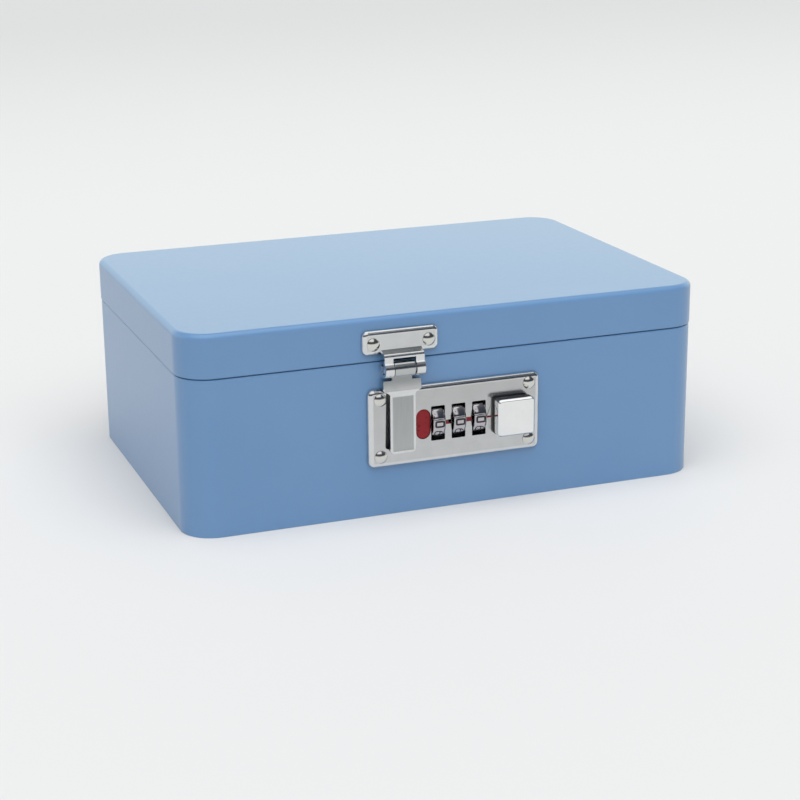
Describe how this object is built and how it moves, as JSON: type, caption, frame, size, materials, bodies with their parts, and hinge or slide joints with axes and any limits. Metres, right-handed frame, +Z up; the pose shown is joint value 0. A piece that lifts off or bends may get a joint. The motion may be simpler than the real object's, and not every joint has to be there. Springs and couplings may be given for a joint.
{
  "type": "medication lock box",
  "caption": "Flat rectangular sheet-metal lock box with a hinged lid, a riveted hasp and a combination lock with a push button on the front.",
  "frame": {"origin": "centre of the underside, on the surface that the box stands on", "axes": "+X along the length to the right of the front, -Y out of the front, +Z up"},
  "size_m": [0.195, 0.1488, 0.072],
  "materials": {
    "blue_paint": "satin sky-blue baked paint",
    "nickel_plate": "satin bright nickel",
    "bright_chrome": "mirror chrome",
    "zinc_steel": "zinc plated, dull",
    "spring_steel": "bright spring steel",
    "black_plastic": "smooth black",
    "red_plastic": "glossy deep red"
  },
  "bodies": {
    "box": {"body_shell": "blue_paint", "base_plate": "blue_paint", "lock_plate": "nickel_plate", "lock_rivet_1": "nickel_plate", "lock_rivet_2": "nickel_plate", "lock_rivet_3": "nickel_plate", "lock_rivet_4": "nickel_plate", "red_oval": "red_plastic", "index_mark_1": "red_plastic", "index_mark_2": "red_plastic", "index_mark_3": "red_plastic", "lock_case": "zinc_steel", "bearing_rib_left": "zinc_steel", "bearing_rib_right": "zinc_steel", "wheel_axle": "spring_steel", "detent_spring": "spring_steel", "latch_spring": "spring_steel", "hinge_left_body_leaf": "nickel_plate", "hinge_left_pin": "spring_steel", "hinge_right_body_leaf": "nickel_plate", "hinge_right_pin": "spring_steel", "hinge_body_rivet_1": "nickel_plate", "hinge_body_rivet_2": "nickel_plate", "hinge_body_rivet_3": "nickel_plate", "hinge_body_rivet_4": "nickel_plate"},
    "lid": {"lid_shell": "blue_paint", "hasp_plate": "nickel_plate", "hasp_rivet_1": "nickel_plate", "hasp_rivet_2": "nickel_plate", "hasp_pin": "nickel_plate", "hinge_left_lid_leaf": "nickel_plate", "hinge_right_lid_leaf": "nickel_plate", "hinge_lid_rivet_1": "nickel_plate", "hinge_lid_rivet_2": "nickel_plate", "hinge_lid_rivet_3": "nickel_plate", "hinge_lid_rivet_4": "nickel_plate"},
    "hasp": {"hasp_tongue": "nickel_plate", "hasp_staple": "nickel_plate"},
    "wheel_1": {"number_wheel_1": "bright_chrome", "code_cam_1": "zinc_steel"},
    "wheel_2": {"number_wheel_2": "bright_chrome", "code_cam_2": "zinc_steel"},
    "wheel_3": {"number_wheel_3": "bright_chrome", "code_cam_3": "zinc_steel"},
    "button": {"button_cap": "bright_chrome", "button_core": "black_plastic"},
    "latch": {"latch_bar": "zinc_steel"}
  },
  "joints": [
    {"name": "lid_hinge", "type": "hinge", "parent": "box", "child": "lid", "pos_m": [0, 0.0698, 0.05635], "axis": [-1, 0, 0], "range_deg": [0, 110]},
    {"name": "hasp_hinge", "type": "hinge", "parent": "lid", "child": "hasp", "pos_m": [-0.02045, -0.07115, 0.0542], "axis": [-1, 0, 0], "range_deg": [0, 150]},
    {"name": "wheel_1_spin", "type": "hinge", "parent": "box", "child": "wheel_1", "pos_m": [-0.0069, -0.06535, 0.03225], "axis": [1, 0, 0], "continuous": true},
    {"name": "wheel_2_spin", "type": "hinge", "parent": "box", "child": "wheel_2", "pos_m": [0.00085, -0.06535, 0.03225], "axis": [1, 0, 0], "continuous": true},
    {"name": "wheel_3_spin", "type": "hinge", "parent": "box", "child": "wheel_3", "pos_m": [0.0086, -0.06535, 0.03225], "axis": [1, 0, 0], "continuous": true},
    {"name": "button_push", "type": "slide", "parent": "box", "child": "button", "axis": [0, 1, 0], "range_m": [0, 0.0016], "stiffness_N_per_m": 600, "springref_m": -0.0015},
    {"name": "latch_slide", "type": "slide", "parent": "box", "child": "latch", "axis": [1, 0, 0], "range_m": [0, 0.0022], "deforming": ["latch_spring"]}
  ],
  "couplings": [
    {"joint": "latch_slide", "follows": "button_push", "ratio": 1.375}
  ]
}
